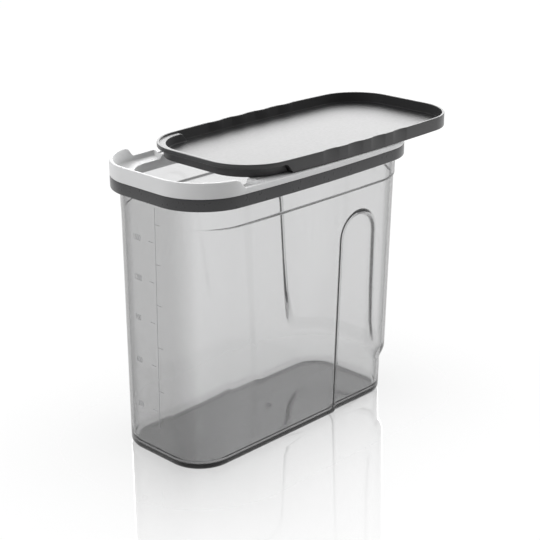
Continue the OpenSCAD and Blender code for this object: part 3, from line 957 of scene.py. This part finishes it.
FLOOR_SIZE, FLOOR_DROP = 12.0, 0.00005    # metres from the middle to each edge, and metres under the base
FLOOR_COLOUR = (0.62, 0.62, 0.622, 1)
FLOOR_GLOW, FLOOR_GLOW_SHARE = 1.15, 0.8  # the floor's own light for seen rays, and its share
FLOOR_MIRROR, FLOOR_MIRROR_FADE = 0.6, 0.06   # its reflection beside the base, and metres of its fade
FLOOR_SHADOW_LEFT = 0.2                         # how much of the glow is left in the painted shadow under the base
SHADOW_EDGE = (-4.0, 2.5)                  # distances from the base's edge between which the painted shadow fades out
BASE_INSET = 4.0                          # from the container's outline to the edge of its flat base


def base_gap(tree):
    """Metres from a point of the floor to the edge of the container's flat base, negative under it."""
    corner = CORNER_BASE - BASE_INSET
    half = Vector(((REAR_BASE_X - FRONT_X) / 2 - BASE_INSET - corner,
                   HALF_W_BASE - BASE_INSET - corner, 0)) * MM
    middle = Vector(((REAR_BASE_X + FRONT_X) / 2, 0, 0)) * MM
    away = node(tree, "NewGeometry").outputs["Position"]
    for operation, other in (
            ("SUBTRACT", middle), ("ABSOLUTE", None), ("SUBTRACT", half), ("MAXIMUM", Vector())):
        step = node(tree, "VectorMath", {"operation": operation}, i0=away)
        if other is not None:
            step.inputs[1].default_value = other
        away = step.outputs[0]
    away = node(tree, "VectorMath", {"operation": "LENGTH"}, i0=away).outputs["Value"]
    return maths(tree, "SUBTRACT", away, corner * MM)


def floor():
    """A plain white floor that mirrors the base softly, with a painted shadow under it."""
    mesh = bpy.data.meshes.new("floor")
    corners = ((-1, -1), (1, -1), (1, 1), (-1, 1))
    mesh.from_pydata([(FLOOR_SIZE * x, FLOOR_SIZE * y, 0) for x, y in corners], [], [(0, 1, 2, 3)])
    ground = bpy.data.objects.new("floor", mesh)
    ground.location.z = -FLOOR_DROP
    bpy.context.scene.collection.objects.link(ground)
    material, tree, shader, output = new_material("floor_white")
    shader.inputs["Base Color"].default_value = FLOOR_COLOUR
    shader.inputs["Roughness"].default_value = 0.8
    shader.inputs["Specular IOR Level"].default_value = 0.2

    gap = base_gap(tree)
    # painted shadow: the floor's glow drops under the container's base
    under = node(tree, "MapRange", {"interpolation_type": "SMOOTHSTEP"}, i0=gap,
                 i1=SHADOW_EDGE[0] * MM, i2=SHADOW_EDGE[1] * MM, i3=FLOOR_SHADOW_LEFT, i4=1.0).outputs[0]
    glow = node(tree, "Emission", Strength=maths(tree, "MULTIPLY", under, FLOOR_GLOW))
    mirrored = node(tree, "LightPath").outputs["Is Glossy Ray"]
    share = maths(tree, "MULTIPLY", maths(tree, "MAXIMUM", straight_rays(tree), mirrored), FLOOR_GLOW_SHARE)
    lit = node(tree, "MixShader", i0=share, i1=shader.outputs[0], i2=glow.outputs[0])

    fade = maths(tree, "EXPONENT", maths(tree, "MULTIPLY", gap, -1 / FLOOR_MIRROR_FADE))
    fade = maths(tree, "MULTIPLY", fade, FLOOR_MIRROR, use_clamp=True)
    gloss = node(tree, "BsdfGlossy", Color=(1, 1, 1, 1), Roughness=0.03)
    both = node(tree, "MixShader", i0=fade, i1=lit.outputs[0], i2=gloss.outputs[0])
    tree.links.new(both.outputs[0], output.inputs["Surface"])
    mesh.materials.append(material)
    return ground


STUDIO_SIDE = (-0.66, -0.66, 0.35)       # towards the photographer, where the studio is dimmer
STUDIO_LEVELS, STUDIO_RANGE = (0.8, 0.192), (0.0, 0.92)


def world():
    """A white studio, dimmer on the side where the photographer stands."""
    studio = bpy.data.worlds.new("studio")
    bpy.context.scene.world = studio
    studio.use_nodes = True
    tree = studio.node_tree
    tree.nodes.clear()
    place = node(tree, "TexCoord")
    aside = node(tree, "VectorMath", {"operation": "DOT_PRODUCT"})
    tree.links.new(place.outputs["Generated"], aside.inputs[0])
    aside.inputs[1].default_value = STUDIO_SIDE
    level = ranged(tree, aside.outputs["Value"], *STUDIO_LEVELS, *STUDIO_RANGE)
    shade = node(tree, "Mix", {"data_type": "FLOAT"})
    tree.links.new(straight_rays(tree), shade.inputs[0])
    tree.links.new(level, shade.inputs[2])
    shade.inputs[3].default_value = 1.0
    sky = node(tree, "Background", Color=(1, 1, 1, 1))
    tree.links.new(shade.outputs[0], sky.inputs["Strength"])
    output = node(tree, "OutputWorld")
    tree.links.new(sky.outputs[0], output.inputs["Surface"])


# name, direction, distance, width and height in metres, and the brightness of the lamp's face
BACK_LIGHT = ("back_light", (0.66, 0.66, 0.46), 1.7, 1.9, 1.1, 3.4)
SIDE_LIGHTS = (("left_light", (-0.85, 0.3, 0.5), 1.6, 1.1, 1.1, 2.2),
               ("right_light", (1.0, -0.27, 0.4), 1.6, 1.1, 1.1, 4.8))
LAMP_AIM = Vector((0, 0, 0.12))


def softbox(name, direction, distance, width, height, radiance):
    """A rectangular lamp that faces the object, with the given brightness of its face."""
    data = bpy.data.lights.new(name, "AREA")
    data.shape, data.size, data.size_y = "RECTANGLE", width, height
    data.energy = radiance * math.pi * width * height
    lamp = bpy.data.objects.new(name, data)
    towards = Vector(direction).normalized()
    lamp.location = LAMP_AIM + towards * distance
    lamp.rotation_euler = towards.to_track_quat("Z", "Y").to_euler()
    lamp.visible_camera = False
    lamp.visible_transmission = False
    bpy.context.scene.collection.objects.link(lamp)
    return lamp


def stage():
    """Floor, world, lamps, camera and colour settings."""
    camera()
    ground = floor()
    world()
    back = softbox(*BACK_LIGHT)
    unlit = bpy.data.collections.new("not_lit_from_behind")
    unlit.objects.link(ground)
    unlit.collection_objects[0].light_linking.link_state = "EXCLUDE"
    back.light_linking.receiver_collection = unlit
    for lamp in SIDE_LIGHTS:
        softbox(*lamp).visible_glossy = False
    bpy.context.scene.view_settings.view_transform = "Standard"


def dress(piece, body, nodes, material):
    """Gives a piece its body, the CAD nodes it stands for and its material."""
    piece.data.materials.clear()
    piece.data.materials.append(material)
    if nodes:
        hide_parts(*nodes)
    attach(piece, body)


stage()
shell = container()
dress(shell, "container", ["body_shell"], smoke_plastic())
# the clear container casts no shadow; the floor's painted shadow under the base stands in for it
shell.visible_shadow = False
dress(band(), "collar", ["rim_band"], moulded(
    "dark_band", (0.026, 0.026, 0.028), (0.034, 0.034, 0.036), (0.27, 0.31), 2600.0, 0.006))
dress(seal(), "collar", ["collar_seal"], moulded(
    "soft_seal", (0.72, 0.72, 0.72), (0.8, 0.8, 0.8), (0.5, 0.6), 1500.0, 0.02))
dress(collar(), "collar", ["pour_collar"], moulded(
    "light_grey", (0.74, 0.742, 0.745), (0.79, 0.792, 0.795), (0.35, 0.45), 2400.0, 0.03))
dress(lid(), "lid", ["slide_lid"], moulded(
    "dark_lid", (0.029, 0.029, 0.030), (0.034, 0.034, 0.035), (0.31, 0.345), 3200.0, 0.012))
dress(scale_print(), "container", [], ink())
